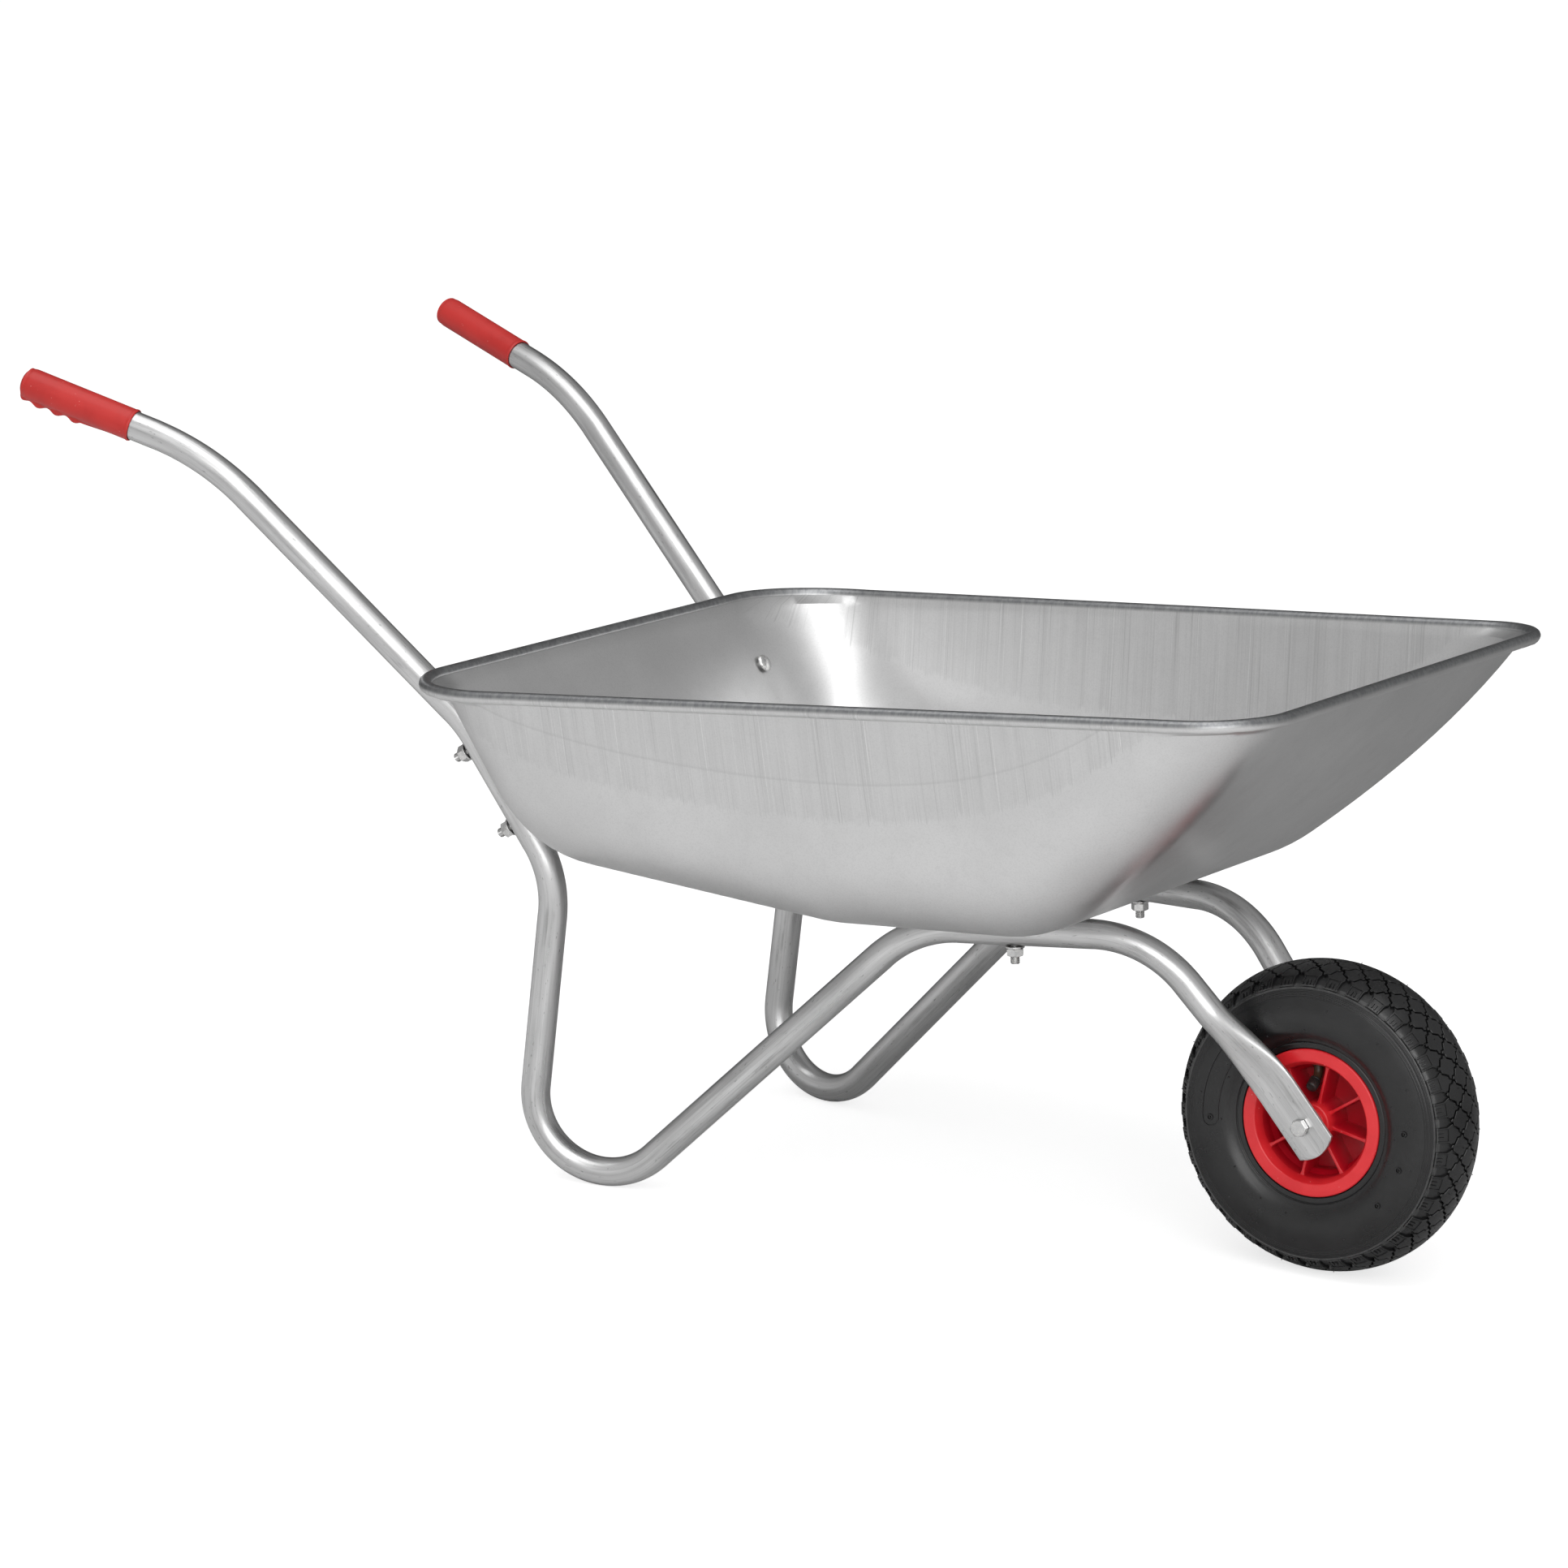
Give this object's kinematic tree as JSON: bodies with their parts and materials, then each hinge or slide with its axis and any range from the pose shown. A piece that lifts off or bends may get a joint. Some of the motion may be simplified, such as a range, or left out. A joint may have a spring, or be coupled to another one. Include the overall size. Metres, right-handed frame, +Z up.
{
  "type": "wheelbarrow",
  "caption": "Garden wheelbarrow: deep pressed steel tray bolted to two bent steel tubes that form handles, legs and wheel fork, with a pneumatic wheel at the front.",
  "frame": {"origin": "on the ground, under the middle of the whole barrow's length and width", "axes": "+X points forward from the handles to the wheel, +Y to the left of a person pushing it, +Z up"},
  "size_m": [1.2477, 0.6566, 0.6487],
  "materials": {
    "tray_steel": "satin galvanised sheet",
    "tube_steel": "galvanised tube with drawing lines",
    "zinc": "bright zinc plate",
    "grip_plastic": "soft satin",
    "hub_plastic": "moulded gloss",
    "tyre_rubber": "moulded satin rubber",
    "rubber": "smooth rubber",
    "nylon": "natural nylon"
  },
  "bodies": {
    "frame": {"tray": "tray_steel", "frame_tube_left": "tube_steel", "frame_tube_right": "tube_steel", "grip_left": "grip_plastic", "grip_right": "grip_plastic", "tray_bolt_rear_upper_left": "zinc", "tray_bolt_rear_upper_right": "zinc", "tray_washer_rear_upper_left": "zinc", "tray_washer_rear_upper_right": "zinc", "tray_nut_rear_upper_left": "zinc", "tray_nut_rear_upper_right": "zinc", "tray_bolt_rear_lower_left": "zinc", "tray_bolt_rear_lower_right": "zinc", "tray_washer_rear_lower_left": "zinc", "tray_washer_rear_lower_right": "zinc", "tray_nut_rear_lower_left": "zinc", "tray_nut_rear_lower_right": "zinc", "tray_bolt_front_left": "zinc", "tray_bolt_front_right": "zinc", "tray_washer_front_left": "zinc", "tray_washer_front_right": "zinc", "tray_nut_front_left": "zinc", "tray_nut_front_right": "zinc", "axle_bolt": "zinc", "axle_washer": "zinc", "axle_nut": "zinc", "axle_sleeve": "zinc", "axle_spacer_left": "nylon", "axle_spacer_right": "nylon"},
    "wheel": {"wheel_hub": "hub_plastic", "tyre": "tyre_rubber", "inner_tube": "rubber", "valve_stem": "rubber", "valve_cap": "rubber", "wheel_bush_left": "hub_plastic", "wheel_bush_right": "hub_plastic"}
  },
  "joints": [
    {"name": "wheel_spin", "type": "hinge", "parent": "frame", "child": "wheel", "pos_m": [0.4938, 0, 0.13], "axis": [0, 1, 0], "continuous": true}
  ]
}
